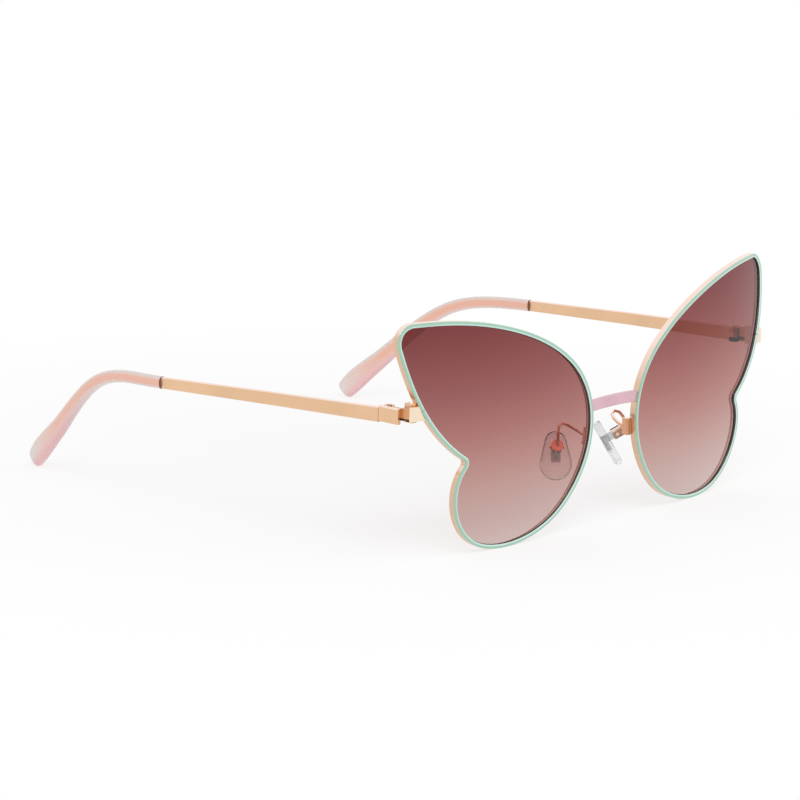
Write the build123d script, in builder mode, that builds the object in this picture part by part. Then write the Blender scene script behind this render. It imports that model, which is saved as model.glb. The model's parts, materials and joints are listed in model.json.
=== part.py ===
from build123d import *
import os
from math import cos, radians, sin, sqrt

os.makedirs("parts", exist_ok=True)

# Sunglasses with butterfly-shaped lenses, standing open on a table, sizes in millimetres.
# X runs across the face, +Y from the lenses to the temple tips, Z up from the table.
# Pieces are drawn on the wearer's left (+X) and mirrored to the right.

# Front: lens openings and how the two rims stand
lens_width = 60.0
lens_height = 53.6
lens_centre_distance = 77.5
overall_depth = 134.7
wrap_angle = 6.8
curve_radius = 140.0
wing_corner_radius = 3.8
notch_corner_radius = 1.9

# Outline of one lens opening, as shares of lens width and height from the lens centre:
# over the wing, down beside the nose, round the lower lobe to the notch, and back up the side.
# Pairs of tangent arcs follow the two curves through these points
wing_share = (0.518, 0.493)
notch_share = (0.183, -0.101)
upper_outline_shares = [
    wing_share, (0.367, 0.494), (0.212, 0.483), (0.025, 0.444), (-0.153, 0.379),
    (-0.318, 0.278), (-0.440, 0.144), (-0.488, -0.011), (-0.473, -0.168), (-0.407, -0.310),
    (-0.298, -0.425), (-0.153, -0.491), (0.003, -0.506), (0.143, -0.459),
    (0.228, -0.345), (0.245, -0.237), notch_share,
]
side_outline_shares = [
    notch_share, (0.293, -0.017), (0.385, 0.099), (0.460, 0.257), (0.497, 0.392), wing_share,
]
upper_arc_pairs = 8
side_arc_pairs = 3

# Rim and the lens in its groove
rim_width = 0.9
rim_depth = 2.0
groove_depth = 0.4
groove_setback = 0.5
lens_thickness = 1.1
lens_clearance = 0.05
rim_split = 0.1

# Bridge
bridge_height = 2.75
bridge_thickness = 1.1
bridge_arch = 0.35
bridge_setback = 0.6
bridge_seat_share = -0.48
bridge_up_share = 0.025
bridge_edge = 0.25

# End piece that carries the hinge
end_piece_across_share = 0.4265
end_piece_up_share = 0.133
end_piece_height = 3.4
end_piece_reach = 3.0
end_piece_thickness = 1.2
end_piece_setback = 0.45
end_piece_sweep = 0.55
end_piece_corner_radius = 0.6
side_leg_height = 2.7

# Closing blocks that hold the parted rim together
closing_block_height = 2.2
closing_block_width = 1.5
closing_block_depth = 2.4
closing_block_out = 0.9
rim_screw_setback = 0.5
rim_screw_radius = 0.45

# Hinge
hinge_drop = 0.83
hinge_setback = 7.4
knuckle_radius = 1.25
knuckle_stack = 3.4
middle_knuckle = 1.2
hinge_gap = 0.05
hinge_slot_clearance = 0.1
hinge_screw_radius = 0.6
hinge_screw_stand = 0.3
screw_slot_width = 0.22
screw_slot_depth = 0.15
running_clearance = 0.05

# Temple: hinge block, flat strip and the core inside the tip
hinge_block_length = 5.85
hinge_block_overlap = 4.5
hinge_block_thickness = 1.15
hinge_block_height = 3.58
hinge_block_edge = 0.2
temple_length = 115.8
temple_drop = 0.3
temple_inset = 9.7
strip_front_height = 3.5
strip_back_height = 2.7
strip_thickness = 1.0
strip_edge = 0.2
core_front_height = 1.9
core_back_height = 1.1
core_thickness = 0.8
core_clearance = 0.03

# Temple tip
tip_front_height = 2.9
tip_back_height = 5.9
tip_front_thickness = 2.2
tip_back_thickness = 3.2
tip_front_edge = 0.6
tip_back_edge = 0.95
tip_end_reach = 4.0
tip_end_skew = 0.25
tip_end_steps = (28, 52, 74)
tip_swell_power = 2.6
tip_sections = 10
strip_sections = 2

# Line of the temple behind the hinge block, each point as shares of temple length, height and
# inset, and the directions it runs in at the seam and at the tip's end
strip_shares = [(0.0, 1.0, 0.0), (0.203, 0.968, -0.062), (0.385, 0.939, -0.124)]
seam_share = (0.566, 0.904, -0.144)
tip_shares = [
    (0.634, 0.892, -0.082), (0.714, 0.863, 0.103), (0.772, 0.799, 0.237), (0.810, 0.718, 0.350),
    (0.847, 0.613, 0.474), (0.901, 0.433, 0.660), (0.944, 0.285, 0.804), (1.0, 0.113, 0.960),
]
start_direction = (0.02, 1, -0.04)
seam_direction = (-0.02, 1, -0.05)
tip_end_direction = (-0.15, 0.62, -0.78)

# Nose pads, their cores, boxes and wire arms
pad_splay = 43.6
pad_tilt = 30.7
pad_screw_out = 11.4
pad_screw_behind = 8.3
pad_screw_rise = 18.9
pad_lower_radius = 3.85
pad_upper_radius = 2.6
pad_radius_spacing = 5.5
pad_thickness = 2.0
pad_standoff = 2.1
pad_drop = 1.2
pad_edge = 0.7
pad_box_radius = 1.4
pad_box_front = 1.0
pad_box_back = 1.7
pad_slot_width = 1.0
pad_core_width = 2.2
pad_core_height = 3.2
pad_core_thickness = 0.6
pad_lug_thickness = 0.8
pad_lug_radius = 0.9
pad_lug_end_gap = 0.3
pad_screw_radius = 0.4
pad_screw_stand = 0.4
arm_wire_radius = 0.47
arm_wire_sides = 8
arm_reach = 4.4
arm_rise = 1.9
arm_crown_out = 11.6
arm_sections = 8
arm_foot_height = 4.2
arm_foot_depth = 1.9
arm_foot_thickness = 1.0
arm_foot_across_share = -0.497
arm_foot_up_share = -0.112
arm_foot_setback = 1.3
arm_start_direction = (0, 1, 0.3)

cut_overrun = 1.0


def scaled(shares):
    """Turn shares of the lens opening into points."""
    return [(across * lens_width, up * lens_height) for across, up in shares]


def arcs_along(guide, pairs):
    """Follow a curve with pairs of arcs that run smoothly into each other."""
    for step in range(pairs):
        start = guide @ (step / pairs)
        end = guide @ ((step + 1) / pairs)
        leaving = guide % (step / pairs)
        arriving = guide % ((step + 1) / pairs)
        chord = end - start
        turn = 2 * (1 - leaving.dot(arriving))
        lean = chord.dot(leaving + arriving)
        reach = (sqrt(lean**2 + turn * chord.dot(chord)) - lean) / turn
        joint = (start + end + (leaving - arriving) * reach) / 2
        TangentArc(start, joint, tangent=leaving)
        TangentArc(joint, end, tangent=chord - (leaving + arriving) * reach)


with BuildLine() as upper_guide:
    Spline(*scaled(upper_outline_shares))
with BuildLine() as side_guide:
    Spline(*scaled(side_outline_shares))

with BuildSketch() as opening_outline:
    with BuildLine():
        arcs_along(upper_guide.edge(), upper_arc_pairs)
        arcs_along(side_guide.edge(), side_arc_pairs)
    make_face()
    for share, radius in ((wing_share, wing_corner_radius), (notch_share, notch_corner_radius)):
        fillet(opening_outline.vertices().sort_by_distance(Vector(*scaled([share])[0]))[0], radius)


def grown_outline(growth):
    """Return the lens opening's outline moved outward by the given amount."""
    opening_face = opening_outline.sketch.face()
    with BuildSketch() as grown:
        with BuildLine():
            for edge in opening_outline.edges():
                swing = Vector(0, 0, growth)
                if opening_face.is_inside(edge @ 0.5 + (edge % 0.5).cross(swing)):
                    swing = -swing
                ThreePointArc(*[edge @ share + (edge % share).cross(swing) for share in (0, 0.5, 1)])
        make_face()
    return grown


rim_outline = grown_outline(rim_width)
groove_outline = grown_outline(groove_depth)
lens_outline = grown_outline(groove_depth - lens_clearance)

# Frame of one lens; the rims' lowest point stands on the table
lens_setback = groove_setback + lens_clearance
lens_bulge = curve_radius * (1 - cos(radians(wrap_angle)))
lens_centre = Vector(
    lens_centre_distance / 2,
    -overall_depth / 2 + lens_bulge - lens_setback,
    -rim_outline.sketch.bounding_box().min.Y,
)
across_direction = Vector(cos(radians(wrap_angle)), sin(radians(wrap_angle)), 0)
forward_direction = Vector(sin(radians(wrap_angle)), -cos(radians(wrap_angle)), 0)
lens_plane = Plane(origin=lens_centre, x_dir=across_direction, z_dir=forward_direction)
prism_reach = lens_width / 4


def front_point(across, up):
    """Return the point of the rims' domed front that lies across and up from the lens centre."""
    sag = curve_radius - sqrt(curve_radius**2 - across**2 - up**2)
    return lens_centre + across_direction * across - forward_direction * sag + Vector(0, 0, up)


def prism(outline):
    """Return the outline as a straight prism through the front."""
    with BuildPart() as block:
        with BuildSketch(lens_plane):
            add(outline.sketch)
        extrude(amount=prism_reach, both=True)
    return block.part


def domed_plate(outline, setback, thickness):
    """Return the outline as a plate domed like the lenses, setback behind the rims' front."""
    with BuildPart() as plate:
        add(prism(outline))
        with Locations(lens_centre - forward_direction * curve_radius):
            Sphere(curve_radius - setback, mode=Mode.INTERSECT)
            Sphere(curve_radius - setback - thickness, mode=Mode.SUBTRACT)
    return plate.part


opening_prism = prism(opening_outline)
rim_prism = prism(rim_outline)

# Left end piece: where it leaves the rim, its outer corner and the hinge's upright axis
root = front_point(end_piece_across_share * lens_width, end_piece_up_share * lens_height)
corner = Vector(root.X + end_piece_reach, root.Y + end_piece_setback + end_piece_sweep, root.Z)
hinge_centre = Vector(
    corner.X - knuckle_radius, corner.Y + hinge_setback, corner.Z - hinge_drop
)

# Rims with their groove, parted at the closing blocks
rim_plate = domed_plate(rim_outline, 0, rim_depth)
with BuildPart() as rim_left:
    add(rim_plate)
    add(opening_prism, mode=Mode.SUBTRACT)
    add(
        domed_plate(groove_outline, groove_setback, lens_thickness + 2 * lens_clearance),
        mode=Mode.SUBTRACT,
    )
    with Locations(root):
        Box(6 * rim_width, 6 * rim_depth, rim_split, mode=Mode.SUBTRACT)

with BuildPart() as lens_left:
    add(domed_plate(lens_outline, lens_setback, lens_thickness))

# Bridge, a gently arched bar between the two rims
bridge_seat = front_point(bridge_seat_share * lens_width, bridge_up_share * lens_height)
bridge_plane = Plane(
    origin=(0, bridge_seat.Y + bridge_setback, bridge_seat.Z), x_dir=(1, 0, 0), z_dir=(0, -1, 0)
)
with BuildPart() as bridge:
    with BuildSketch(bridge_plane):
        with BuildLine():
            low = ThreePointArc(
                (-bridge_seat.X, -bridge_height / 2),
                (0, bridge_arch - bridge_height / 2),
                (bridge_seat.X, -bridge_height / 2),
            )
            high = ThreePointArc(
                (-bridge_seat.X, bridge_height / 2),
                (0, bridge_arch + bridge_height / 2),
                (bridge_seat.X, bridge_height / 2),
            )
            Line(low @ 0, high @ 0)
            Line(low @ 1, high @ 1)
        make_face()
    extrude(amount=-bridge_thickness)
    chamfer(bridge.edges().group_by(Axis.Y)[0] + bridge.edges().group_by(Axis.Y)[-1], bridge_edge)
    add(rim_prism, mode=Mode.SUBTRACT)
    add(rim_prism.mirror(Plane.YZ), mode=Mode.SUBTRACT)

# End piece: a bar bent round the corner, forked at the back into two hinge knuckles
leg_start = (root.X - 2 * rim_width, root.Y + end_piece_setback - end_piece_sweep)
side_leg_start = corner.Y + end_piece_thickness + hinge_slot_clearance
with BuildPart() as end_piece_left:
    with BuildSketch(Plane.XY.offset(corner.Z - end_piece_height / 2)):
        with BuildLine():
            Polyline(
                leg_start,
                (corner.X, corner.Y),
                (corner.X, hinge_centre.Y),
                (corner.X - end_piece_thickness, hinge_centre.Y),
                (corner.X - end_piece_thickness, corner.Y + end_piece_thickness),
                (leg_start[0], leg_start[1] + end_piece_thickness),
                close=True,
            )
        make_face()
    extrude(amount=end_piece_height)
    fillet(
        end_piece_left.edges().filter_by(Axis.Z).sort_by_distance(corner)[0], end_piece_corner_radius
    )
    with BuildSketch(Plane.YZ.offset(hinge_centre.X - 2 * knuckle_radius)):
        for side in (-1, 1):
            with BuildLine():
                Polyline(
                    (side_leg_start, corner.Z + side * (end_piece_height / 2 + cut_overrun)),
                    (side_leg_start, corner.Z + side * side_leg_height / 2),
                    (hinge_centre.Y - knuckle_stack, hinge_centre.Z + side * knuckle_stack / 2),
                    (hinge_centre.Y + cut_overrun, hinge_centre.Z + side * knuckle_stack / 2),
                    (hinge_centre.Y + cut_overrun, corner.Z + side * (end_piece_height + cut_overrun)),
                    close=True,
                )
            make_face()
    extrude(amount=4 * knuckle_radius, mode=Mode.SUBTRACT)
    with BuildSketch(Plane.XY.offset(hinge_centre.Z - knuckle_stack / 2)):
        with Locations((hinge_centre.X, hinge_centre.Y)):
            Circle(knuckle_radius)
    extrude(amount=knuckle_stack)
    with Locations(hinge_centre + Vector(0, knuckle_radius, 0)):
        Box(
            4 * knuckle_radius,
            4 * knuckle_radius + 2 * hinge_slot_clearance,
            middle_knuckle + 2 * hinge_gap,
            mode=Mode.SUBTRACT,
        )
    with Locations(hinge_centre):
        Cylinder(hinge_screw_radius, knuckle_stack + cut_overrun, mode=Mode.SUBTRACT)
    add(rim_prism, mode=Mode.SUBTRACT)

# Closing blocks behind the end piece, and the screw that pulls them together
block_centre = Vector(
    root.X + closing_block_out,
    root.Y + end_piece_setback + end_piece_thickness + closing_block_depth / 2,
    corner.Z,
)
rim_screw_centre = block_centre + Vector(0, rim_screw_setback, 0)


def closing_block(side):
    """Return the closing block above (1) or below (-1) the rim's parting."""
    height = side * (closing_block_height + rim_split) / 2
    with BuildPart() as block:
        with Locations(block_centre + Vector(0, 0, height)):
            Box(closing_block_width, closing_block_depth, closing_block_height)
        with Locations(rim_screw_centre):
            Cylinder(rim_screw_radius, 3 * closing_block_height, mode=Mode.SUBTRACT)
        add(rim_plate, mode=Mode.SUBTRACT)
        add(end_piece_left.part, mode=Mode.SUBTRACT)
    return block


closing_block_upper_left = closing_block(1)
closing_block_lower_left = closing_block(-1)


def slotted_screw(centre, radius, low, high):
    """Return an upright screw from low to high, slotted across its upper end."""
    with BuildPart() as screw:
        with BuildSketch(Plane.XY.offset(low)):
            with Locations((centre.X, centre.Y)):
                Circle(radius)
        extrude(amount=high - low)
        with Locations((centre.X, centre.Y, high)):
            Box(4 * radius, screw_slot_width, 2 * screw_slot_depth, mode=Mode.SUBTRACT)
    return screw


rim_screw_left = slotted_screw(
    rim_screw_centre,
    rim_screw_radius,
    block_centre.Z - closing_block_height,
    block_centre.Z + closing_block_height + rim_split / 2,
)
hinge_screw_left = slotted_screw(
    hinge_centre,
    hinge_screw_radius,
    hinge_centre.Z - knuckle_stack / 2,
    hinge_centre.Z + knuckle_stack / 2 + hinge_screw_stand,
)

# Hinge block: a plate outside the end piece, and the middle knuckle that reaches to the screw
plate_inner = corner.X + hinge_gap
plate_front = hinge_centre.Y - hinge_block_overlap
with BuildPart() as hinge_block_left:
    with Locations((
        plate_inner + hinge_block_thickness / 2,
        plate_front + hinge_block_length / 2,
        hinge_centre.Z,
    )):
        Box(hinge_block_thickness, hinge_block_length, hinge_block_height)
    outside = hinge_block_left.faces().sort_by(Axis.X)[-1]
    chamfer(outside.edges(), hinge_block_edge)
    with BuildSketch(Plane.XY.offset(hinge_centre.Z - middle_knuckle / 2)):
        with Locations((hinge_centre.X, hinge_centre.Y)):
            Circle(knuckle_radius)
        with Locations(((hinge_centre.X + plate_inner) / 2, hinge_centre.Y)):
            Rectangle(plate_inner - hinge_centre.X, 2 * knuckle_radius)
    extrude(amount=middle_knuckle)
    with Locations(hinge_centre):
        Cylinder(
            hinge_screw_radius + running_clearance, 2 * middle_knuckle, mode=Mode.SUBTRACT
        )

# Temple line
temple_start = Vector(
    plate_inner + hinge_block_thickness / 2,
    plate_front + hinge_block_length,
    hinge_centre.Z - temple_drop,
)


def temple_point(shares):
    """Return the point of the temple line at the given shares."""
    along, rise, inset = shares
    return Vector(
        temple_start.X - inset * temple_inset,
        temple_start.Y + along * temple_length,
        rise * temple_start.Z,
    )


def section_plane(origin, direction):
    """Return the plane square to a direction, its Y direction pointing up or back."""
    return Plane(origin=origin, x_dir=Vector(0, 0, 1).cross(direction), z_dir=direction)


def planes_along(line, count):
    """Return evenly spaced planes square to a line, from its start to its end."""
    spots = [line.length * step / count for step in range(count + 1)]
    return [
        section_plane(
            line.position_at(spot, PositionMode.LENGTH), line.tangent_at(spot, PositionMode.LENGTH)
        )
        for spot in spots
    ]


with BuildLine() as strip_line:
    Spline(
        *[temple_point(shares) for shares in strip_shares + [seam_share]],
        tangents=(start_direction, seam_direction),
    )
with BuildLine() as tip_line:
    Spline(
        *[temple_point(shares) for shares in [seam_share] + tip_shares],
        tangents=(seam_direction, tip_end_direction),
    )
strip_planes = planes_along(strip_line.edge(), strip_sections)
strip_planes[0] = section_plane(temple_start, Vector(0, 1, 0))
tip_planes = planes_along(tip_line.edge(), tip_sections)
strip_changes = [step / strip_sections for step in range(strip_sections + 1)]
tip_changes = [(step / tip_sections) ** tip_swell_power for step in range(tip_sections + 1)]


def blend(front, back, changes):
    """Return the sizes that change from front to back by the given shares."""
    return [front + (back - front) * change for change in changes]


def bar(section_planes, thicknesses, heights, edges):
    """Return a bar whose corners are taken off by the given edges, section by section."""
    with BuildPart() as lofted:
        for plane, thickness, height, edge in zip(section_planes, thicknesses, heights, edges):
            with BuildSketch(plane) as section:
                Rectangle(thickness, height)
                chamfer(section.vertices(), edge)
        loft(ruled=True)
    return lofted.part


def core_bar(growth):
    """Return the core inside the tip, grown all round by the given amount."""
    core_planes = tip_planes[:-1]
    return bar(
        core_planes,
        [core_thickness + 2 * growth for plane in core_planes],
        blend(core_front_height + 2 * growth, core_back_height + 2 * growth, tip_changes[:-1]),
        [strip_edge for plane in core_planes],
    )


with BuildPart() as temple_left:
    add(bar(
        strip_planes,
        [strip_thickness for plane in strip_planes],
        blend(strip_front_height, strip_back_height, strip_changes),
        [strip_edge for plane in strip_planes],
    ))
    add(core_bar(0))

# Temple tip; beyond its last full section the end is rounded and leans to the front
end_plane = tip_planes[-1]
end_shrinks = [1.0] + [cos(radians(turn)) for turn in tip_end_steps]
end_reaches = [0.0] + [sin(radians(turn)) for turn in tip_end_steps]
end_planes = [
    section_plane(
        end_plane.origin
        + end_plane.z_dir * (tip_end_reach * reach)
        - end_plane.y_dir * (tip_end_skew * (1 - shrink) * tip_back_height / 2),
        end_plane.z_dir,
    )
    for shrink, reach in zip(end_shrinks, end_reaches)
]

with BuildPart() as temple_tip_left:
    add(bar(
        tip_planes,
        blend(tip_front_thickness, tip_back_thickness, tip_changes),
        blend(tip_front_height, tip_back_height, tip_changes),
        blend(tip_front_edge, tip_back_edge, tip_changes),
    ))
    add(bar(
        end_planes,
        [tip_back_thickness * shrink for shrink in end_shrinks],
        [tip_back_height * shrink for shrink in end_shrinks],
        [tip_back_edge * shrink for shrink in end_shrinks],
    ))
    add(core_bar(core_clearance), mode=Mode.SUBTRACT)

# Nose pad frame at the pad screw: X along the screw, Y up the pad, Z out of the pad's face
pad_face_direction = Vector(
    -cos(radians(pad_tilt)) * cos(radians(pad_splay)),
    cos(radians(pad_tilt)) * sin(radians(pad_splay)),
    -sin(radians(pad_tilt)),
)
pad_screw_centre = Vector(pad_screw_out, pad_screw_behind - overall_depth / 2, pad_screw_rise)
pad_plane = Plane(
    origin=pad_screw_centre,
    x_dir=(-sin(radians(pad_splay)), -cos(radians(pad_splay)), 0),
    z_dir=pad_face_direction,
)
screw_plane = Plane(origin=pad_screw_centre, x_dir=pad_plane.y_dir, z_dir=pad_plane.x_dir)
pad_mid = (0, -pad_drop)

with BuildPart() as pad_core_left:
    with BuildSketch(pad_plane.offset(pad_standoff + (pad_thickness - pad_core_thickness) / 2)):
        with Locations(pad_mid):
            Rectangle(pad_core_width, pad_core_height)
    extrude(amount=pad_core_thickness)
    with BuildSketch(screw_plane):
        Circle(pad_lug_radius)
        with Locations((0, (pad_standoff + pad_thickness / 2) / 2)):
            Rectangle(2 * pad_lug_radius, pad_standoff + pad_thickness / 2)
    extrude(amount=pad_lug_thickness / 2, both=True)
    with BuildSketch(screw_plane):
        Circle(pad_screw_radius + running_clearance)
    extrude(amount=pad_lug_thickness, both=True, mode=Mode.SUBTRACT)

pad_middle_shift = (pad_lower_radius - pad_upper_radius) / 2
with BuildPart() as nose_pad_left:
    with BuildSketch(pad_plane.offset(pad_standoff)):
        with Locations((0, pad_middle_shift - pad_drop - pad_radius_spacing / 2)):
            Circle(pad_lower_radius)
        with Locations((0, pad_middle_shift - pad_drop + pad_radius_spacing / 2)):
            Circle(pad_upper_radius)
        make_hull()
    extrude(amount=pad_thickness)
    pad_face = nose_pad_left.faces().sort_by(Axis((0, 0, 0), pad_face_direction))[-1]
    chamfer(pad_face.edges(), pad_edge)
    add(pad_core_left.part, mode=Mode.SUBTRACT)

with BuildPart() as pad_box_left:
    with BuildSketch(pad_plane.offset(-pad_box_back)):
        Circle(pad_box_radius)
    extrude(amount=pad_box_back + pad_box_front)
    with BuildSketch(pad_plane.offset(-pad_lug_radius - pad_lug_end_gap)):
        Rectangle(pad_slot_width, 4 * pad_box_radius)
    extrude(amount=4 * pad_box_radius, mode=Mode.SUBTRACT)
    with BuildSketch(screw_plane):
        Circle(pad_screw_radius)
    extrude(amount=2 * pad_box_radius, both=True, mode=Mode.SUBTRACT)

with BuildPart() as pad_screw_left:
    with BuildSketch(screw_plane.offset(-pad_box_radius - pad_screw_stand)):
        Circle(pad_screw_radius)
    extrude(amount=2 * (pad_box_radius + pad_screw_stand))

# Wire arm: foot on the rim's nose side, then an arched wire into the back of the box
foot_seat = front_point(arm_foot_across_share * lens_width, arm_foot_up_share * lens_height)
foot_centre = Vector(
    foot_seat.X - rim_width - arm_foot_thickness / 2,
    foot_seat.Y + arm_foot_setback + arm_foot_depth / 2,
    foot_seat.Z,
)
wire_start = foot_centre + Vector(0, arm_foot_depth / 2, 0)
with BuildLine() as wire_path:
    Spline(
        wire_start,
        Vector(arm_crown_out, wire_start.Y + arm_reach, wire_start.Z + arm_rise),
        pad_screw_centre - pad_face_direction * pad_box_back,
        tangents=(arm_start_direction, pad_face_direction),
    )
with BuildPart() as pad_arm_left:
    with Locations(foot_centre + Vector(rim_width, 0, 0)):
        Box(arm_foot_thickness + 2 * rim_width, arm_foot_depth, arm_foot_height)
    add(rim_prism, mode=Mode.SUBTRACT)
    for plane in planes_along(wire_path.edge(), arm_sections):
        with BuildSketch(plane):
            RegularPolygon(arm_wire_radius, arm_wire_sides)
    loft(ruled=True)

halves = {
    "rim": rim_left,
    "lens": lens_left,
    "end_piece": end_piece_left,
    "closing_block_upper": closing_block_upper_left,
    "closing_block_lower": closing_block_lower_left,
    "rim_screw": rim_screw_left,
    "hinge_screw": hinge_screw_left,
    "hinge_block": hinge_block_left,
    "temple": temple_left,
    "temple_tip": temple_tip_left,
    "pad_arm": pad_arm_left,
    "pad_box": pad_box_left,
    "pad_core": pad_core_left,
    "pad_screw": pad_screw_left,
    "nose_pad": nose_pad_left,
}
for name, left in halves.items():
    with BuildPart() as right:
        add(left.part.mirror(Plane.YZ))
    left.part.label = name + "_left"
    right.part.label = name + "_right"
    export_step(left.part, "parts/" + name + "_left.step")
    export_step(right.part, "parts/" + name + "_right.step")

bridge.part.label = "bridge"
export_step(bridge.part, "parts/bridge.step")
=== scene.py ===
import json
import math

import bmesh
import bpy
from mathutils import Matrix, Vector


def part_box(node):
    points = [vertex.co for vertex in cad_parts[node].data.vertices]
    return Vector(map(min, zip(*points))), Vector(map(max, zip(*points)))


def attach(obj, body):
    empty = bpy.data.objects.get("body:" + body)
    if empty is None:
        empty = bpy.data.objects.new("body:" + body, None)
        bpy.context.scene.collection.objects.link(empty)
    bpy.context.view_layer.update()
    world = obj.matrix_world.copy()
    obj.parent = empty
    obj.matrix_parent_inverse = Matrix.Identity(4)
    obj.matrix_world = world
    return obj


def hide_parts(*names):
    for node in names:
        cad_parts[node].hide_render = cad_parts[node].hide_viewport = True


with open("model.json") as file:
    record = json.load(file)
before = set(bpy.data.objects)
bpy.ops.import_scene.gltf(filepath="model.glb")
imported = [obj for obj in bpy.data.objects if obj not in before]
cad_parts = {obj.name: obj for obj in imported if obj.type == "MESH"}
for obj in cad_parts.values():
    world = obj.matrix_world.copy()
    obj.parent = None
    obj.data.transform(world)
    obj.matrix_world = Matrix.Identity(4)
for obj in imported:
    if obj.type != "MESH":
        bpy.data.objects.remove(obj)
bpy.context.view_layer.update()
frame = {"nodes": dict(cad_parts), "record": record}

mm = 0.001
sides = {"left": 1, "right": -1}
rearward = Vector((0, 1, 0))
skyward = Vector((0, 0, 1))

# Colours as seen in the photograph, 0 to 255
mint_outer = (152, 194, 172)
# Pale mint for the enamel's painted highlight on its side towards the lens
mint_highlight = (196, 224, 214)
rim_gold = (228, 194, 166)
# Pale pink for the painted highlight on metal faces turned upward
top_highlight_pink = (250, 224, 212)
pale_gold = (250, 230, 204)
temple_gold = (236, 196, 158)
knuckle_copper = (214, 158, 118)
# Dark brown painted on the knuckle's foot as the shade and dark reflection of its gap
knuckle_gap_shade = (70, 44, 32)
copper_gold = (224, 168, 132)
# Gold darkened and greyed for the pad boxes, as painted shade and dark reflection
pad_box_shaded_gold = (178, 146, 126)
insert_grey = (216, 208, 204)
screw_gold = (232, 208, 186)
bridge_pink = (216, 174, 185)
tip_peach = (236, 180, 158)
# Pink of the plastic's tint, also painted as shade on the tips' lower side
tip_pink = (242, 194, 196)
tip_edge = (240, 231, 227)
seam_brown = (120, 74, 56)
# Dark brown for the painted shade of the groove, in the rim's mouth and along the lens's side
groove_shade_brown = (46, 30, 28)
ground_edge = (236, 214, 206)
pad_clear = (236, 238, 240)
floor_white = (250, 250, 250)
pure_white = (1, 1, 1, 1)

# How bright the darker patches are, as a share of a finish's own colour
solid_shade = 0.95
clear_shade = 0.97
insert_shade = 0.9

# Lens: what it lets through from its lowest to its highest point, the least light that any
# colour keeps, and how much of the surroundings it mirrors seen straight on and at a slant
lens_heights = (0.0, 0.25, 0.5, 0.75, 1.0)
lens_colours = ((218, 198, 194), (202, 166, 160), (181, 128, 123), (152, 96, 95), (128, 71, 72))
lens_least = 0.004
lens_mirror = 0.03
lens_slant_mirror = 0.95
lens_slant_power = 5.0
lens_roughness = 0.03

# Most of a noise texture's values lie between these two
noise_low = 0.3
noise_high = 0.7

# Sections as places out from the lens edge and forward of the lens front, in millimetres:
# the channel of plated metal, the enamel laid on its front, a dark strip of painted shade in its
# mouth, and the lens's own edge behind that strip, first a dark line of painted shade and then the
# ground part
metal_section = (
    (0.55, -1.30), (0.55, 0.10), (0.52, 0.13), (0.50, 0.40), (-0.30, 0.40),
    (-0.35, 0.36), (-0.35, 0.02), (0.03, 0.02), (0.03, -1.12), (-0.14, -1.12),
    (-0.14, -1.31), (-0.08, -1.37), (0.48, -1.37),
)
enamel_section = (
    (0.52, 0.10), (0.555, 0.12), (0.57, 0.20), (0.57, 0.42), (0.53, 0.49), (0.42, 0.53),
    (0.12, 0.54), (-0.08, 0.53), (-0.26, 0.50), (-0.36, 0.43), (-0.36, 0.35),
)
groove_shade_section = (
    (-0.34, 0.40), (-0.38, 0.39), (-0.40, 0.10), (-0.50, 0.03), (-0.50, 0.005), (-0.34, 0.005),
)
lens_side_shade_section = ((-0.012, -0.02), (-0.012, -0.55), (-0.045, -0.55), (-0.045, -0.02))
ground_section = ((-0.012, -0.56), (-0.012, -1.09), (-0.045, -1.09), (-0.045, -0.56))
wrap_angle = math.radians(6.8)
rim_steps = 560
rim_parting = 0.1 * mm
rim_crisp_angle = math.radians(40)

# CAD meshes: how near two corners are one, how far a face has to look along a direction to
# count as facing it, and how deep the lid over a hollow's mouth may lie
weld_distance = 0.001 * mm
front_facing = 0.7
lid_facing = 0.95
lid_depth = 0.3 * mm

# Temple tips: how they are gone through and rounded
tip_mouth_depth = 0.5 * mm
tip_first_cut = 0.2 * mm
tip_step = 0.8 * mm
tip_reach = 9 * mm
tip_steadiness = 3
tip_least_cuts = 4
tip_cuts_dropped = 2
tip_calming = 16
tip_corners = 28
tip_squareness = 0.72
tip_end_length = 1.5 * mm
tip_end_steps = 7

# End pieces: where the knuckle starts, how high the painted shade at the knuckle's foot reaches,
# and how soft both lines are
knuckle_front = -60.0 * mm
knuckle_low = 34.0 * mm
knuckle_blur = 0.1 * mm

# Nose pads and their arms: the way the pads' faces are turned, and how edges are rounded
pad_splay = math.radians(43.6)
pad_tilt = math.radians(30.7)
pad_grain = 0.15 * mm
pad_passes = 24
arm_grain = 0.09 * mm
arm_passes = 12
arm_thinner = 0.05 * mm
smooth_share = 0.5

# Floor in metres: its size, how far it lies below the part, the share of white glow near the
# part and far from it, and the distances between which that share grows
floor_size = 6.0
floor_drop = 0.02 * mm
floor_glow = (0.6, 1.0)
floor_fade = (0.05, 0.18)

# Light: what the surroundings give besides what they show, then the lamps' name, place,
# size in metres and power in watts
world_light = 0.72
lamp_target = Vector((0, 0, 0.02))
lamps = (
    ("key", Vector((-0.5, -0.5, 0.8)), 0.5, 3.0),
    ("fill", Vector((0.5, -0.6, 0.4)), 0.6, 1.0),
)

# Camera at the photograph's viewpoint: metres, degrees, and millimetres for lens and sensor
camera_place = Vector((-0.89785, -0.75203, 0.27802))
camera_back = Vector((-0.74896, -0.62637, 0.21616))
camera_roll = 1.7917
camera_lens = 221.3
camera_sensor = 36.0
camera_near = 0.05


def linear(colour):
    """Turn a 0 to 255 display colour into linear light, by the sRGB curve."""
    shares = [channel / 255 for channel in colour]
    return [c / 12.92 if c <= 0.04045 else ((c + 0.055) / 1.055) ** 2.4 for c in shares]


def rgba(colour):
    """A display colour as linear RGBA."""
    return (*linear(colour), 1.0)


def shade_of(colour, share):
    """A display colour made darker by a share."""
    return tuple(channel * share for channel in colour)


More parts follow.
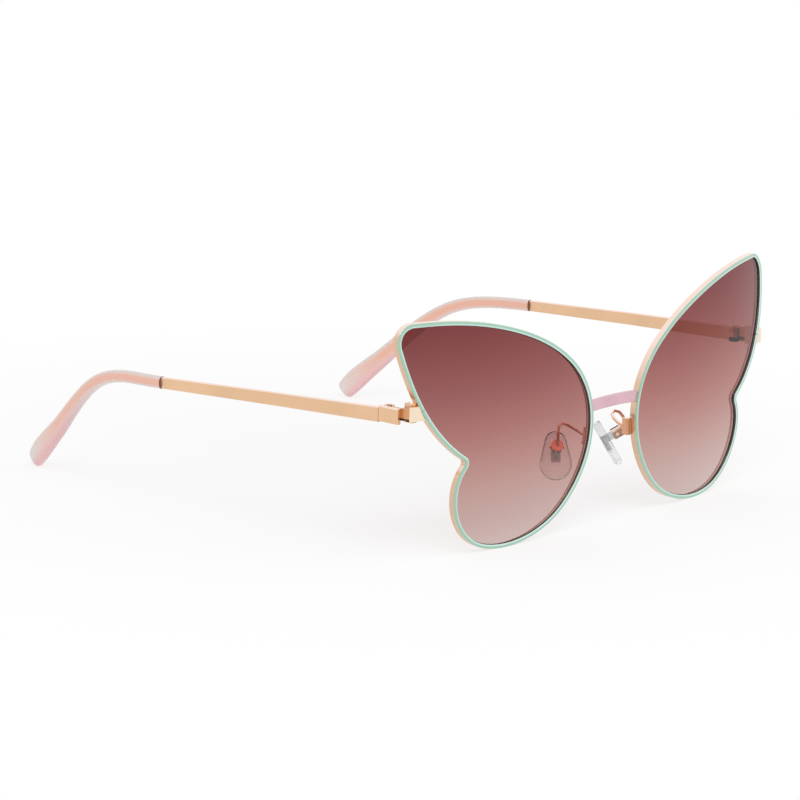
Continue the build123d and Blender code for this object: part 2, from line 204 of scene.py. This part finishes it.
class Nodes:
    """Short names for building the node tree of a material or a world."""

    def __init__(self, owner, output="ShaderNodeOutputMaterial"):
        owner.use_nodes = True
        self.owner = owner
        self.tree = owner.node_tree
        self.tree.nodes.clear()
        self.output = self.add(output)

    def add(self, kind, sockets=(), **settings):
        """A new node with its settings and the plain values of its sockets."""
        node = self.tree.nodes.new(kind)
        for key, value in settings.items():
            setattr(node, key, value)
        for key, value in dict(sockets).items():
            node.inputs[key].default_value = value
        return node

    def link(self, source, target):
        self.tree.links.new(source, target)

    def math(self, operation, first, second=None):
        """One sum of two values, each a number or an output."""
        node = self.add("ShaderNodeMath", operation=operation)
        for socket, value in zip(node.inputs, (first, second)):
            if value is None:
                continue
            if isinstance(value, (int, float)):
                socket.default_value = value
            else:
                self.link(value, socket)
        return node.outputs[0]

    def noise(self, scale, detail=3.0, stretch=(1, 1, 1)):
        """Noise that is fixed to the object."""
        coordinates = self.add("ShaderNodeTexCoord")
        mapping = self.add("ShaderNodeMapping", {"Scale": stretch})
        texture = self.add("ShaderNodeTexNoise", {"Scale": scale, "Detail": detail})
        self.link(coordinates.outputs["Object"], mapping.inputs["Vector"])
        self.link(mapping.outputs["Vector"], texture.inputs["Vector"])
        return texture.outputs["Fac"]

    def spread(self, value, low, high, start=noise_low, end=noise_high):
        """Carry a value from the span start to end over to the span low to high."""
        spans = {"From Min": start, "From Max": end, "To Min": low, "To Max": high}
        node = self.add("ShaderNodeMapRange", spans)
        self.link(value, node.inputs["Value"])
        return node.outputs["Result"]

    def share(self, value, start=noise_low, end=noise_high):
        """How far a value has come from start to end, 0 to 1."""
        return self.spread(value, 0.0, 1.0, start, end)

    def wander(self, scale, reach):
        """Noise that strays from nought by up to its reach."""
        return self.spread(self.noise(scale), -reach, reach)

    def mix(self, factor, first, second):
        """A colour between two, each an RGBA or an output."""
        node = self.add("ShaderNodeMix", data_type="RGBA")
        self.link(factor, node.inputs["Factor"])
        colours = [socket for socket in node.inputs if socket.type == "RGBA"]
        for socket, value in zip(colours, (first, second)):
            if isinstance(value, tuple):
                socket.default_value = value
            else:
                self.link(value, socket)
        return [socket for socket in node.outputs if socket.type == "RGBA"][0]

    def mottle(self, factor, colour, shade):
        """A display colour that turns into its darker shade where the factor is high."""
        return self.mix(factor, rgba(colour), rgba(shade_of(colour, shade)))

    def blend(self, factor, first, second):
        """A shader between two."""
        node = self.add("ShaderNodeMixShader")
        self.link(factor, node.inputs[0])
        self.link(first.outputs[0], node.inputs[1])
        self.link(second.outputs[0], node.inputs[2])
        return node

    def paint(self, shader, colour):
        """Let a colour output drive a shader's base colour."""
        self.link(colour, shader.inputs["Base Color"])

    def roughen(self, shader, grain, low, high):
        """Let a shader's roughness go from low to high with a grain."""
        self.link(self.spread(grain, low, high), shader.inputs["Roughness"])

    def bump(self, shader, height, strength, distance):
        """Give a shader's surface a fine relief."""
        node = self.add("ShaderNodeBump", {"Strength": strength, "Distance": distance})
        self.link(height, node.inputs["Height"])
        self.link(node.outputs["Normal"], shader.inputs["Normal"])

    def parts(self, vector):
        """The X, Y and Z of a vector."""
        node = self.add("ShaderNodeSeparateXYZ")
        self.link(vector, node.inputs[0])
        return node.outputs

    def place(self):
        """The X, Y and Z of a point in the object's own frame."""
        return self.parts(self.add("ShaderNodeTexCoord").outputs["Object"])

    def surface(self, shader):
        """End the tree with a shader and give back the material or world."""
        self.link(shader.outputs[0], self.output.inputs["Surface"])
        return self.owner


def metal(name, colour, roughness, stretch=(1, 1, 1)):
    """Plated metal with fine streaks, small changes of shade and a painted highlight on its upward
    faces.
    """
    nodes = Nodes(bpy.data.materials.new(name))
    shader = nodes.add("ShaderNodeBsdfPrincipled", {"Metallic": 1.0})
    streaks = nodes.noise(scale=900, detail=4.0, stretch=stretch)
    facing = nodes.parts(nodes.add("ShaderNodeNewGeometry").outputs["Normal"])
    # Painted highlight: faces turned upward go pale pink, as if lit from above
    top_highlight = nodes.share(facing["Z"], start=0.35, end=0.75)
    tone = nodes.mottle(nodes.share(nodes.noise(scale=60)), colour, solid_shade)
    nodes.paint(shader, nodes.mix(top_highlight, tone, rgba(top_highlight_pink)))
    nodes.roughen(shader, streaks, low=0.8 * roughness, high=1.3 * roughness)
    nodes.bump(shader, streaks, strength=0.08, distance=0.02 * mm)
    return nodes.surface(shader)


def end_piece_metal(name):
    """Pale gold next to the rim and copper on the knuckle, with painted shade and dark reflection
    along the knuckle's foot, where the gap lies.
    """
    nodes = Nodes(bpy.data.materials.new(name))
    shader = nodes.add("ShaderNodeBsdfPrincipled", {"Metallic": 1.0})
    grain = nodes.noise(scale=900)
    place = nodes.place()
    knuckle = nodes.share(place["Y"], knuckle_front, knuckle_front + knuckle_blur)
    # Painted shade: the knuckle's foot goes dark brown, standing in for the gap's shadow and dark
    # reflection
    gap_shade_share = nodes.spread(place["Z"], 1.0, 0.0, knuckle_low, knuckle_low + knuckle_blur)
    gold = nodes.mottle(grain, pale_gold, solid_shade)
    copper = nodes.mix(gap_shade_share, rgba(knuckle_copper), rgba(knuckle_gap_shade))
    nodes.paint(shader, nodes.mix(knuckle, gold, copper))
    nodes.roughen(shader, grain, low=0.2, high=0.3)
    nodes.bump(shader, grain, strength=0.05, distance=0.01 * mm)
    return nodes.surface(shader)


def enamel(name):
    """Glossy enamel, greener towards the rim's outside, with a painted highlight making it pale
    towards the lens.
    """
    nodes = Nodes(bpy.data.materials.new(name))
    gloss = {"Roughness": 0.2, "Coat Weight": 0.6, "Coat Roughness": 0.05}
    shader = nodes.add("ShaderNodeBsdfPrincipled", gloss)
    across = nodes.add("ShaderNodeAttribute", attribute_name="across")
    band = nodes.math("ADD", across.outputs["Fac"], nodes.wander(scale=140, reach=0.06))
    # Painted highlight: the enamel's band towards the lens turns pale mint
    highlight_band = nodes.share(band, start=0.5, end=0.72)
    nodes.paint(shader, nodes.mix(highlight_band, rgba(mint_outer), rgba(mint_highlight)))
    nodes.bump(shader, nodes.noise(scale=420), strength=0.1, distance=0.03 * mm)
    return nodes.surface(shader)


def lacquer(name, colour, roughness):
    """Smooth lacquer over metal."""
    nodes = Nodes(bpy.data.materials.new(name))
    gloss = {"Coat Weight": 0.4, "Coat Roughness": 0.1}
    shader = nodes.add("ShaderNodeBsdfPrincipled", gloss)
    grain = nodes.noise(scale=1500, detail=2.0)
    nodes.paint(shader, nodes.mottle(nodes.share(nodes.noise(scale=120)), colour, solid_shade))
    nodes.roughen(shader, grain, low=0.8 * roughness, high=1.2 * roughness)
    nodes.bump(shader, grain, strength=0.05, distance=0.01 * mm)
    return nodes.surface(shader)


def lens_glass(name, low, high):
    """Tinted lens: each face lets part of the tint through, deepest at the top."""
    nodes = Nodes(bpy.data.materials.new(name))
    height = nodes.share(nodes.place()["Z"], low, high)
    wander = nodes.wander(scale=30, reach=0.01)
    ramp = nodes.add("ShaderNodeValToRGB")
    stops = ramp.color_ramp.elements
    while len(stops) < len(lens_heights):
        stops.new(0.5)
    for stop, place, colour in zip(stops, lens_heights, lens_colours):
        tint = [max(channel - lens_mirror, lens_least) for channel in linear(colour)]
        stop.position = place
        stop.color = (*[math.sqrt(channel / (1 - lens_mirror)) for channel in tint], 1.0)
    nodes.link(nodes.math("ADD", height, wander), ramp.inputs["Fac"])
    clear = nodes.add("ShaderNodeBsdfTransparent")
    nodes.link(ramp.outputs["Color"], clear.inputs["Color"])
    gloss = nodes.add("ShaderNodeBsdfGlossy", {"Roughness": lens_roughness})
    facing = nodes.add("ShaderNodeLayerWeight").outputs["Facing"]
    slant = nodes.math("POWER", facing, lens_slant_power)
    shine = nodes.math("ADD", nodes.math("MULTIPLY", slant, lens_slant_mirror), lens_mirror)
    inside = nodes.add("ShaderNodeNewGeometry").outputs["Backfacing"]
    outside = nodes.math("SUBTRACT", 1.0, inside)
    return nodes.surface(nodes.blend(nodes.math("MULTIPLY", shine, outside), clear, gloss))


def clear_plastic(name, colour, roughness, bend):
    """Clear moulded plastic that casts only a faint shadow."""
    nodes = Nodes(bpy.data.materials.new(name))
    clearness = {"Transmission Weight": 1.0, "IOR": bend}
    shader = nodes.add("ShaderNodeBsdfPrincipled", clearness)
    nodes.paint(shader, nodes.mottle(nodes.share(nodes.noise(scale=160)), colour, clear_shade))
    nodes.roughen(shader, nodes.noise(scale=700), low=0.7 * roughness, high=1.4 * roughness)
    nodes.bump(shader, nodes.noise(scale=500), strength=0.06, distance=0.02 * mm)
    dimmed = rgba(shade_of(colour, clear_shade))
    through = nodes.add("ShaderNodeBsdfTransparent", {"Color": dimmed})
    path = nodes.add("ShaderNodeLightPath")
    return nodes.surface(nodes.blend(path.outputs["Is Shadow Ray"], shader, through))


def half_clear(name, colour, solid):
    """Metal seen through clear plastic, with the share that looks solid."""
    nodes = Nodes(bpy.data.materials.new(name))
    shader = nodes.add("ShaderNodeBsdfPrincipled", {"Metallic": 1.0})
    cloud = nodes.noise(scale=500)
    nodes.paint(shader, nodes.mottle(cloud, colour, insert_shade))
    nodes.roughen(shader, cloud, low=0.3, high=0.45)
    dimmed = rgba(shade_of(pad_clear, clear_shade))
    through = nodes.add("ShaderNodeBsdfTransparent", {"Color": dimmed})
    share = nodes.spread(cloud, solid - 0.05, solid + 0.05)
    return nodes.surface(nodes.blend(share, through, shader))


def milky_plastic(name):
    """Cloudy plastic: peach over the metal core, pale and clear at its edges and its rear end, and
    pinker on its lower side towards the rear as painted shade.
    """
    nodes = Nodes(bpy.data.materials.new(name))
    gloss = {"Coat Weight": 0.6, "Coat Roughness": 0.06}
    shader = nodes.add("ShaderNodeBsdfPrincipled", gloss)
    band = nodes.add("ShaderNodeAttribute", attribute_name="band")
    shares = nodes.parts(band.outputs["Vector"])
    rise, along = shares["X"], shares["Z"]
    wander = nodes.wander(scale=70, reach=0.05)
    from_middle = nodes.math("ADD", nodes.math("ABSOLUTE", rise), wander)
    edge = nodes.share(from_middle, start=0.35, end=0.9)
    rear = nodes.share(nodes.math("ADD", along, wander), start=0.7, end=0.94)
    pale = nodes.math("MAXIMUM", edge, rear)
    # Painted shade: the lower side turns pinker towards the rear end
    lower = nodes.spread(rise, 1.0, 0.0, start=-0.8, end=0.0)
    underside_shade = nodes.math("MULTIPLY", lower, nodes.share(along, start=0.35, end=0.75))
    seam = nodes.spread(along, 1.0, 0.0, start=0.0002, end=0.0006)
    tone = nodes.mix(pale, rgba(tip_peach), rgba(tip_edge))
    tone = nodes.mix(underside_shade, tone, rgba(tip_pink))
    tone = nodes.mix(seam, tone, rgba(seam_brown))
    nodes.paint(shader, tone)
    nodes.roughen(shader, nodes.noise(scale=600), low=0.2, high=0.3)
    nodes.bump(shader, nodes.noise(scale=300), strength=0.03, distance=0.02 * mm)
    through = nodes.add("ShaderNodeBsdfTransparent")
    nodes.link(nodes.mix(pale, rgba(tip_pink), rgba(tip_edge)), through.inputs["Color"])
    solid = nodes.math("MAXIMUM", nodes.spread(pale, 1.0, 0.8, start=0.0, end=1.0), seam)
    return nodes.surface(nodes.blend(solid, through, shader))


def dress(piece, material):
    """Give a piece its material."""
    piece.data.materials.clear()
    piece.data.materials.append(material)


def new_piece(name, mesh, body, material, slot, *nodes):
    """Make a smooth-shaded object of a bmesh, riding on a body in place of the given nodes."""
    data = bpy.data.meshes.new(name)
    mesh.to_mesh(data)
    mesh.free()
    for face in data.polygons:
        face.use_smooth = True
    piece = bpy.data.objects.new(name, data)
    bpy.context.scene.collection.objects.link(piece)
    dress(piece, material)
    if nodes:
        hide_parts(*nodes)
    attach(piece, body)
    return piece


def soften(piece, grain, passes, thinner=0.0):
    """Round a piece's edges over as moulding does, and take a little off all round."""
    remesh = piece.modifiers.new("remesh", "REMESH")
    remesh.mode = "VOXEL"
    remesh.voxel_size = grain
    remesh.use_smooth_shade = True
    smooth = piece.modifiers.new("smooth", "SMOOTH")
    smooth.factor = smooth_share
    smooth.iterations = passes
    if thinner:
        slim = piece.modifiers.new("slim", "DISPLACE")
        slim.mid_level = 0.0
        slim.strength = -thinner


def welded(node):
    """A CAD node's mesh as a bmesh with its corners joined."""
    mesh = bmesh.new()
    mesh.from_mesh(frame["nodes"][node].data)
    bmesh.ops.remove_doubles(mesh, verts=mesh.verts, dist=weld_distance)
    mesh.normal_update()
    return mesh


def centre_of(points):
    """The middle of a list of points."""
    return sum(points, Vector()) / len(points)


def close_rows(mesh, rows):
    """Join rows of corners into a tube and close both of its ends."""
    corners = len(rows[0])
    for row, following in zip(rows, rows[1:]):
        for index in range(corners):
            ahead = (index + 1) % corners
            mesh.faces.new((row[index], row[ahead], following[ahead], following[index]))
    mesh.faces.new(rows[0])
    mesh.faces.new(rows[-1])
    bmesh.ops.recalc_face_normals(mesh, faces=mesh.faces)


def parting_of(side):
    """The place behind the end piece where the closing blocks hold the parted rim."""
    screw_low, screw_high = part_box(f"rim_screw_{side}")
    block_low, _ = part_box(f"closing_block_upper_{side}")
    return Vector(((screw_low.x + screw_high.x) / 2, screw_low.y, block_low.z))


def lens_loop(side, forward):
    """The corners round a lens's front edge in turn, from the one nearest to the rim's parting."""
    mesh = welded(f"lens_{side}")
    beside = {}
    for edge in mesh.edges:
        facing = sorted(face.normal.dot(forward) for face in edge.link_faces)
        if facing[-1] > front_facing > facing[0] > -front_facing:
            first, second = edge.verts
            beside.setdefault(first.index, []).append(second.index)
            beside.setdefault(second.index, []).append(first.index)
    places = [vertex.co.copy() for vertex in mesh.verts]
    mesh.free()
    parting = parting_of(side)
    start = min(beside, key=lambda index: (places[index] - parting).length)
    loop = [start, beside[start][0]]
    while loop[-1] != start:
        first, second = beside[loop[-1]]
        loop.append(second if first == loop[-2] else first)
    return [places[index] for index in loop[:-1]]


def smooth_ring(ring, count):
    """Spread points evenly along a ring's closed curve, a Catmull-Rom spline through it."""
    total = len(ring)
    lengths = [0.0]
    for index in range(total):
        lengths.append(lengths[-1] + (ring[(index + 1) % total] - ring[index]).length)
    points = []
    span = 0
    for step in range(count):
        distance = lengths[-1] * step / count
        while lengths[span + 1] < distance:
            span += 1
        share = (distance - lengths[span]) / (lengths[span + 1] - lengths[span])
        before, here, there, beyond = [ring[(span + shift) % total] for shift in (-1, 0, 1, 2)]
        points.append(
            here
            + (there - before) * (share / 2)
            + (before * 2 - here * 5 + there * 4 - beyond) * (share**2 / 2)
            + (here * 3 - before - there * 3 + beyond) * (share**3 / 2)
        )
    return points


def sweep(points, forward, section):
    """Carry a section round a ring of points, parted where the ring starts.

    The attribute "across" goes from 0 at the section's outermost place to 1 at its innermost.
    """
    count = len(points)
    outermost = max(out for out, front in section)
    width = outermost - min(out for out, front in section)
    outward = (points[1] - points[-1]).cross(forward)
    turn = 1 if outward.dot(points[0] - centre_of(points)) > 0 else -1
    mesh = bmesh.new()
    across = mesh.verts.layers.float.new("across")
    rows = []
    for index in range(count + 1):
        here = points[index % count]
        along = (points[(index + 1) % count] - points[index - 1]).normalized()
        outward = along.cross(forward).normalized()
        if index == 0:
            here = here + along * rim_parting / 2
        elif index == count:
            here = here - along * rim_parting / 2
        row = []
        for out, front in section:
            vertex = mesh.verts.new(here + outward * (turn * out * mm) + forward * (front * mm))
            vertex[across] = (outermost - out) / width
            row.append(vertex)
        rows.append(row)
    close_rows(mesh, rows)
    return mesh


def outer_skin(node, mouth):
    """A CAD node's outside as one closed skin, without the hollow that opens at its mouth."""
    mesh = welded(node)
    furthest = max(vertex.co.dot(mouth) for vertex in mesh.verts)
    lid = [
        face for face in mesh.faces
        if face.normal.dot(mouth) > lid_facing
        and face.calc_center_median().dot(mouth) > furthest - lid_depth
    ]
    bmesh.ops.delete(mesh, geom=lid, context="FACES")
    start = min(mesh.verts, key=lambda vertex: vertex.co.dot(mouth))
    skin = {start}
    reached = [start]
    while reached:
        vertex = reached.pop()
        for edge in vertex.link_edges:
            other = edge.other_vert(vertex)
            if other not in skin:
                skin.add(other)
                reached.append(other)
    hollow = [vertex for vertex in mesh.verts if vertex not in skin]
    bmesh.ops.delete(mesh, geom=hollow, context="VERTS")
    bmesh.ops.holes_fill(mesh, edges=[edge for edge in mesh.edges if edge.is_boundary], sides=0)
    bmesh.ops.recalc_face_normals(mesh, faces=mesh.faces)
    return mesh


def cuts_of(mesh, origin, direction):
    """The points where a plane crosses the edges of a mesh near the plane's origin."""
    cuts = []
    for edge in mesh.edges:
        first, second = edge.verts
        start = (first.co - origin).dot(direction)
        end = (second.co - origin).dot(direction)
        if (start < 0) != (end < 0):
            cut = first.co.lerp(second.co, start / (start - end))
            if (cut - origin).length < tip_reach:
                cuts.append(cut)
    return cuts


def axes_of(direction):
    """The two directions across a long piece: level, and upward."""
    level = skyward.cross(direction).normalized()
    return level, direction.cross(level)


def stations_of(mesh, direction):
    """Go through a long piece step by step, noting each cut's middle and its half sizes."""
    nearest = min(vertex.co.dot(direction) for vertex in mesh.verts)
    mouth = [
        vertex.co for vertex in mesh.verts
        if vertex.co.dot(direction) < nearest + tip_mouth_depth
    ]
    origin = centre_of(mouth) + direction * tip_first_cut
    stations = []
    while True:
        cuts = cuts_of(mesh, origin, direction)
        if len(cuts) < tip_least_cuts:
            return stations
        sizes = []
        for axis in axes_of(direction):
            spots = [(cut - origin).dot(axis) for cut in cuts]
            origin = origin + axis * ((max(spots) + min(spots)) / 2)
            sizes.append((max(spots) - min(spots)) / 2)
        if stations:
            onward = (origin - stations[-1][0]).normalized()
            direction = (direction * tip_steadiness + onward).normalized()
        stations.append((origin, *sizes))
        origin = origin + direction * tip_step


def calmed(values, passes):
    """Average each value with its neighbours, leaving the ends where they are."""
    for _ in range(passes):
        values = [values[0]] + [
            (before + here * 2 + after) / 4
            for before, here, after in zip(values, values[1:], values[2:])
        ] + [values[-1]]
    return values


def squared(share):
    """A cosine or sine moved so that a circle becomes a square with round corners."""
    return math.copysign(abs(share) ** tip_squareness, share)


def tip_rings(node):
    """Middle, direction and half sizes of each ring along a tip, smaller at its round rear end."""
    mesh = outer_skin(node, -rearward)
    stations = stations_of(mesh, rearward)[:-tip_cuts_dropped]
    mesh.free()
    centres, breadths, rises = [calmed(list(values), tip_calming) for values in zip(*stations)]
    rings = []
    for index, centre in enumerate(centres):
        near = centres[max(index - 1, 0)]
        far = centres[min(index + 1, len(centres) - 1)]
        rings.append((centre, (far - near).normalized(), breadths[index], rises[index]))
    centre, direction, breadth, rise = rings[-1]
    for step in range(1, tip_end_steps):
        turn = math.pi / 2 * step / tip_end_steps
        share = math.cos(turn)
        ahead = centre + direction * (tip_end_length * math.sin(turn))
        rings.append((ahead, direction, breadth * share, rise * share))
    return rings


def tip_skin(node):
    """A temple tip with its bends and edges flowing and its rear end rounded.

    The attribute "band" holds each corner's share upward, sideways and along the tip.
    """
    rings = tip_rings(node)
    skin = bmesh.new()
    band = skin.verts.layers.float_vector.new("band")
    rows = []
    for index, (centre, direction, breadth, rise) in enumerate(rings):
        level, upward = axes_of(direction)
        row = []
        for step in range(tip_corners):
            turn = 2 * math.pi * step / tip_corners
            side_share = squared(math.cos(turn))
            rise_share = squared(math.sin(turn))
            vertex = skin.verts.new(
                centre + level * (breadth * side_share) + upward * (rise * rise_share)
            )
            vertex[band] = Vector((rise_share, side_share, index / len(rings)))
            row.append(vertex)
        rows.append(row)
    close_rows(skin, rows)
    return skin


def make_floor():
    """Pale floor that fades into the white backdrop around it."""
    bpy.ops.mesh.primitive_plane_add(size=floor_size, location=(0, 0, -floor_drop))
    floor = bpy.context.object
    floor.name = "floor"
    nodes = Nodes(bpy.data.materials.new("floor"))
    shader = nodes.add("ShaderNodeBsdfDiffuse", {"Color": rgba(floor_white)})
    glow = nodes.add("ShaderNodeEmission", {"Color": pure_white})
    coordinates = nodes.add("ShaderNodeTexCoord")
    distance = nodes.add("ShaderNodeVectorMath", operation="LENGTH")
    nodes.link(coordinates.outputs["Object"], distance.inputs[0])
    fade = nodes.spread(distance.outputs["Value"], *floor_glow, *floor_fade)
    floor.data.materials.append(nodes.surface(nodes.blend(fade, shader, glow)))


def make_world():
    """White surroundings that also light the object softly from all round."""
    nodes = Nodes(bpy.data.worlds.new("studio"), "ShaderNodeOutputWorld")
    background = nodes.add("ShaderNodeBackground", {"Color": pure_white})
    path = nodes.add("ShaderNodeLightPath").outputs
    seen = nodes.math("MAXIMUM", path["Is Camera Ray"], path["Is Transmission Ray"])
    seen = nodes.math("MAXIMUM", seen, path["Is Glossy Ray"])
    strength = nodes.spread(seen, world_light, 1.0, start=0.0, end=1.0)
    nodes.link(strength, background.inputs["Strength"])
    bpy.context.scene.world = nodes.surface(background)


def make_lamp(name, place, size, power):
    """A soft square lamp aimed at the part."""
    data = bpy.data.lights.new(name, "AREA")
    data.size = size
    data.energy = power
    lamp = bpy.data.objects.new(name, data)
    bpy.context.scene.collection.objects.link(lamp)
    lamp.location = place
    lamp.rotation_euler = (lamp_target - place).to_track_quat("-Z", "Y").to_euler()


def make_camera():
    """The camera at the photograph's viewpoint."""
    back = camera_back.normalized()
    right = skyward.cross(back).normalized()
    up = back.cross(right)
    roll = math.radians(camera_roll)
    rolled_right = right * math.cos(roll) + up * math.sin(roll)
    rolled_up = up * math.cos(roll) - right * math.sin(roll)
    data = bpy.data.cameras.new("camera")
    data.lens = camera_lens
    data.sensor_width = camera_sensor
    data.clip_start = camera_near
    camera = bpy.data.objects.new("camera", data)
    bpy.context.scene.collection.objects.link(camera)
    turn = Matrix((rolled_right, rolled_up, back)).transposed().to_4x4()
    camera.matrix_world = Matrix.Translation(camera_place) @ turn
    bpy.context.scene.camera = camera


# Materials: one for each slot, and special ones for nodes and pieces that differ from theirs
lens_low, lens_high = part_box("lens_left")
slot_materials = {
    "rose_gold": metal("rose_gold", rim_gold, 0.2),
    "temple_metal": metal("temple_metal", temple_gold, 0.3, stretch=(1, 0.05, 1)),
    "copper_gold": metal("copper_gold", copper_gold, 0.15),
    "screw_metal": metal("screw_metal", screw_gold, 0.2),
    "mint_enamel": enamel("mint_enamel"),
    "pink_lacquer": lacquer("pink_lacquer", bridge_pink, 0.32),
    "tinted_lens": lens_glass("tinted_lens", lens_low.z, lens_high.z),
    "pink_tip": milky_plastic("pink_tip"),
    "clear_pad": clear_plastic("clear_pad", pad_clear, 0.15, 1.4),
}
finishes = {
    "end_piece": end_piece_metal("end_gold"),
    # Pad boxes take the darkened gold: painted shade and dark reflection
    "pad_box": metal("pad_box_shaded_gold", pad_box_shaded_gold, 0.25),
    "pad_core": half_clear("pad_insert", insert_grey, 0.2),
}
# Dark lacquer for the strips of painted shade where the lens sits in the groove
lens_edge = lacquer("lens_edge", groove_shade_brown, 0.5)
ground = lacquer("ground_edge", ground_edge, 0.6)

# The CAD nodes
slot_of = {part["node"]: part["material_slot"] for part in frame["record"]["subparts"]}
for name, piece in frame["nodes"].items():
    finish = slot_materials[slot_of[name]]
    for start, special in finishes.items():
        if name.startswith(start):
            finish = special
    dress(piece, finish)

# Rings round each lens: name, section, material, slot, and whether the ring is part of the rim
rings = (
    ("rim_channel", metal_section, slot_materials["rose_gold"], "rose_gold", True),
    ("rim_enamel", enamel_section, slot_materials["mint_enamel"], "mint_enamel", True),
    # The next two rings are dark strips of painted shade for the groove round the lens
    ("lens_edge", groove_shade_section, lens_edge, "tinted_lens", False),
    ("lens_liner", lens_side_shade_section, lens_edge, "tinted_lens", False),
    ("lens_ground_edge", ground_section, ground, "tinted_lens", False),
)
for side, sign in sides.items():
    forward = Vector((sign * math.sin(wrap_angle), -math.cos(wrap_angle), 0))
    points = smooth_ring(lens_loop(side, forward), rim_steps)
    for name, section, material, slot, of_rim in rings:
        mesh = sweep(points, forward, section)
        nodes = [f"rim_{side}"] if of_rim else []
        piece = new_piece(f"{name}_{side}", mesh, "front", material, slot, *nodes)
        if name == "rim_channel":
            piece.data.set_sharp_from_angle(angle=rim_crisp_angle)

# Temple tips, nose pads and pad arms
for side, sign in sides.items():
    new_piece(
        f"tip_{side}", tip_skin(f"temple_tip_{side}"), f"temple_{side}",
        slot_materials["pink_tip"], "pink_tip", f"temple_tip_{side}",
    )
    face = Vector((
        -sign * math.cos(pad_tilt) * math.cos(pad_splay),
        math.cos(pad_tilt) * math.sin(pad_splay),
        -math.sin(pad_tilt),
    ))
    pad = new_piece(
        f"pad_{side}", outer_skin(f"nose_pad_{side}", -face), f"nose_pad_{side}",
        slot_materials["clear_pad"], "clear_pad", f"nose_pad_{side}",
    )
    soften(pad, pad_grain, pad_passes)
    soften(frame["nodes"][f"pad_arm_{side}"], arm_grain, arm_passes, arm_thinner)

make_floor()
make_world()
for lamp in lamps:
    make_lamp(*lamp)
make_camera()
bpy.context.scene.view_settings.view_transform = "Standard"
